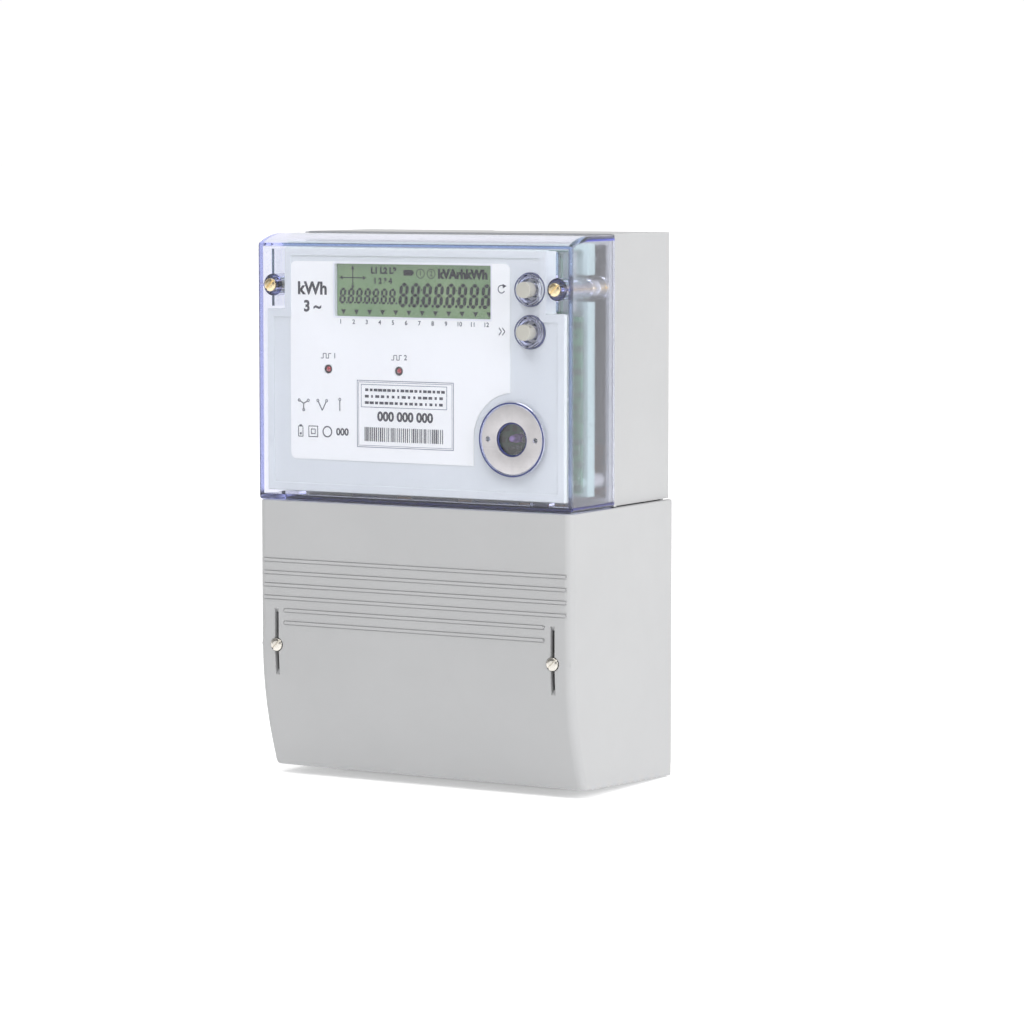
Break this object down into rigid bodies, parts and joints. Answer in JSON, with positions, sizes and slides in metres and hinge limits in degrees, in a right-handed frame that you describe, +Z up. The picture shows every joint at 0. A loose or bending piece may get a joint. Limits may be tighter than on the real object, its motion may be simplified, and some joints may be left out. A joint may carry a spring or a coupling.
{
  "type": "smart electric meter",
  "caption": "Wall-mounted three-phase electricity meter: grey rear case, clear front cover over display, push buttons and optical port, and a deep grey terminal cover.",
  "frame": {"origin": "middle of the rear face, 130 mm above the lowest edge, in the plane of the wall", "axes": "+Z up along the meter's height, +Y into the wall, +X to the right as seen from the front"},
  "size_m": [0.1708, 0.1033, 0.2596],
  "materials": {
    "case_plastic": "light grey moulded plastic with a fine spark-eroded texture",
    "clear_polycarbonate": "clear polycarbonate with blue-violet edges",
    "face_plastic": "satin bluish white",
    "label_film": "satin printed polyester film",
    "lcd": "green twisted-nematic liquid-crystal glass",
    "white_plastic": "white moulded plastic",
    "carrier_plastic": "pale green moulded plastic",
    "circuit_board": "green solder mask on glass-fibre laminate",
    "black_rubber": "soft black elastomer",
    "button_plastic": "warm grey moulded plastic",
    "brass": "nickel-washed brass, turned",
    "copper": "bare copper bar",
    "nickel_steel": "nickel-plated soft iron, bead blasted",
    "spring_steel": "drawn spring wire",
    "zinc_steel": "zinc-plated sheet steel",
    "red_lens": "red-tinted epoxy lens",
    "dark_plastic": "black moulded plastic",
    "block_plastic": "dark glass-filled plastic",
    "core_epoxy": "blue epoxy",
    "battery_sleeve": "shrink sleeve"
  },
  "bodies": {
    "rear_case": {"rear_case": "case_plastic", "cover_gasket": "black_rubber", "lcd_contact_strip": "black_rubber", "reset_switch": "dark_plastic", "select_switch": "dark_plastic", "infrared_emitter": "dark_plastic", "infrared_receiver": "dark_plastic", "board_link_header": "dark_plastic", "supply_transformer": "dark_plastic", "cover_insert_left": "brass", "terminal_cover_insert_left": "brass", "cover_insert_right": "brass", "terminal_cover_insert_right": "brass", "faceplate": "face_plastic", "label_sheet": "label_film", "lcd_glass": "lcd", "lcd_backlight": "white_plastic", "lcd_frame": "white_plastic", "pulse_led_1": "red_lens", "pulse_led_2": "red_lens", "display_board": "circuit_board", "metering_board": "circuit_board", "board_carrier": "carrier_plastic", "auxiliary_terminals": "carrier_plastic", "filter_capacitor": "core_epoxy", "current_transformer_1": "core_epoxy", "current_transformer_2": "core_epoxy", "current_transformer_3": "core_epoxy", "backup_battery": "battery_sleeve", "terminal_block": "block_plastic", "terminal_cage_1": "brass", "terminal_cage_2": "brass", "terminal_cage_3": "brass", "terminal_cage_4": "brass", "terminal_cage_5": "brass", "terminal_cage_6": "brass", "terminal_cage_7": "brass", "terminal_cage_8": "brass", "phase_1_busbar": "copper", "phase_2_busbar": "copper", "phase_3_busbar": "copper", "neutral_busbar": "copper"},
    "hanging_bracket": {"hanging_bracket": "zinc_steel"},
    "meter_cover": {"meter_cover": "clear_polycarbonate", "optical_port_plate": "nickel_steel", "reset_button_seal": "black_rubber", "select_button_seal": "black_rubber", "reset_button_spring": "spring_steel", "select_button_spring": "spring_steel"},
    "reset_button": {"reset_button": "button_plastic"},
    "select_button": {"select_button": "button_plastic"},
    "terminal_cover": {"terminal_cover": "case_plastic"},
    "cover_screw_carrier_left": {"cover_screw_retainer_left": "white_plastic"},
    "cover_screw_left": {"cover_screw_left": "brass"},
    "terminal_screw_carrier_left": {"terminal_cover_retainer_left": "white_plastic"},
    "terminal_screw_left": {"terminal_cover_screw_left": "brass"},
    "cover_screw_carrier_right": {"cover_screw_retainer_right": "white_plastic"},
    "cover_screw_right": {"cover_screw_right": "brass"},
    "terminal_screw_carrier_right": {"terminal_cover_retainer_right": "white_plastic"},
    "terminal_screw_right": {"terminal_cover_screw_right": "brass"}
  },
  "joints": [
    {"name": "hanging_bracket_slide", "type": "slide", "parent": "rear_case", "child": "hanging_bracket", "axis": [0, 0, 1], "range_m": [0, 0.028]},
    {"name": "meter_cover_lift_off", "type": "slide", "parent": "rear_case", "child": "meter_cover", "axis": [0, -1, 0], "range_m": [0, 0.06]},
    {"name": "terminal_cover_lift_off", "type": "slide", "parent": "rear_case", "child": "terminal_cover", "axis": [0, -1, 0], "range_m": [0, 0.11]},
    {"name": "reset_button_press", "type": "slide", "parent": "meter_cover", "child": "reset_button", "axis": [0, 1, 0], "range_m": [0, 0.0022], "stiffness_N_per_m": 600, "springref_m": -0.0015, "deforming": ["reset_button_spring"]},
    {"name": "select_button_press", "type": "slide", "parent": "meter_cover", "child": "select_button", "axis": [0, 1, 0], "range_m": [0, 0.0022], "stiffness_N_per_m": 600, "springref_m": -0.0015, "deforming": ["select_button_spring"]},
    {"name": "cover_screw_travel_left", "type": "slide", "parent": "meter_cover", "child": "cover_screw_carrier_left", "axis": [0, -1, 0], "range_m": [0, 0.0056]},
    {"name": "cover_screw_turn_left", "type": "hinge", "parent": "cover_screw_carrier_left", "child": "cover_screw_left", "pos_m": [-0.0772, -0.1003, 0.1048], "axis": [0, -1, 0], "range_deg": [0, 2881]},
    {"name": "cover_screw_travel_right", "type": "slide", "parent": "meter_cover", "child": "cover_screw_carrier_right", "axis": [0, -1, 0], "range_m": [0, 0.0056]},
    {"name": "cover_screw_turn_right", "type": "hinge", "parent": "cover_screw_carrier_right", "child": "cover_screw_right", "pos_m": [0.0772, -0.1003, 0.1048], "axis": [0, -1, 0], "range_deg": [0, 2881]},
    {"name": "terminal_screw_travel_left", "type": "slide", "parent": "terminal_cover", "child": "terminal_screw_carrier_left", "axis": [0, -1, 0], "range_m": [0, 0.0056]},
    {"name": "terminal_screw_turn_left", "type": "hinge", "parent": "terminal_screw_carrier_left", "child": "terminal_screw_left", "pos_m": [-0.0755, -0.099, -0.0665], "axis": [0, -1, 0], "range_deg": [0, 2881]},
    {"name": "terminal_screw_travel_right", "type": "slide", "parent": "terminal_cover", "child": "terminal_screw_carrier_right", "axis": [0, -1, 0], "range_m": [0, 0.0056]},
    {"name": "terminal_screw_turn_right", "type": "hinge", "parent": "terminal_screw_carrier_right", "child": "terminal_screw_right", "pos_m": [0.0755, -0.099, -0.0665], "axis": [0, -1, 0], "range_deg": [0, 2881]}
  ],
  "couplings": [
    {"joint": "cover_screw_turn_left", "follows": "cover_screw_travel_left", "rad_per_m": 8976},
    {"joint": "cover_screw_turn_right", "follows": "cover_screw_travel_right", "rad_per_m": 8976},
    {"joint": "terminal_screw_turn_left", "follows": "terminal_screw_travel_left", "rad_per_m": 8976},
    {"joint": "terminal_screw_turn_right", "follows": "terminal_screw_travel_right", "rad_per_m": 8976}
  ]
}
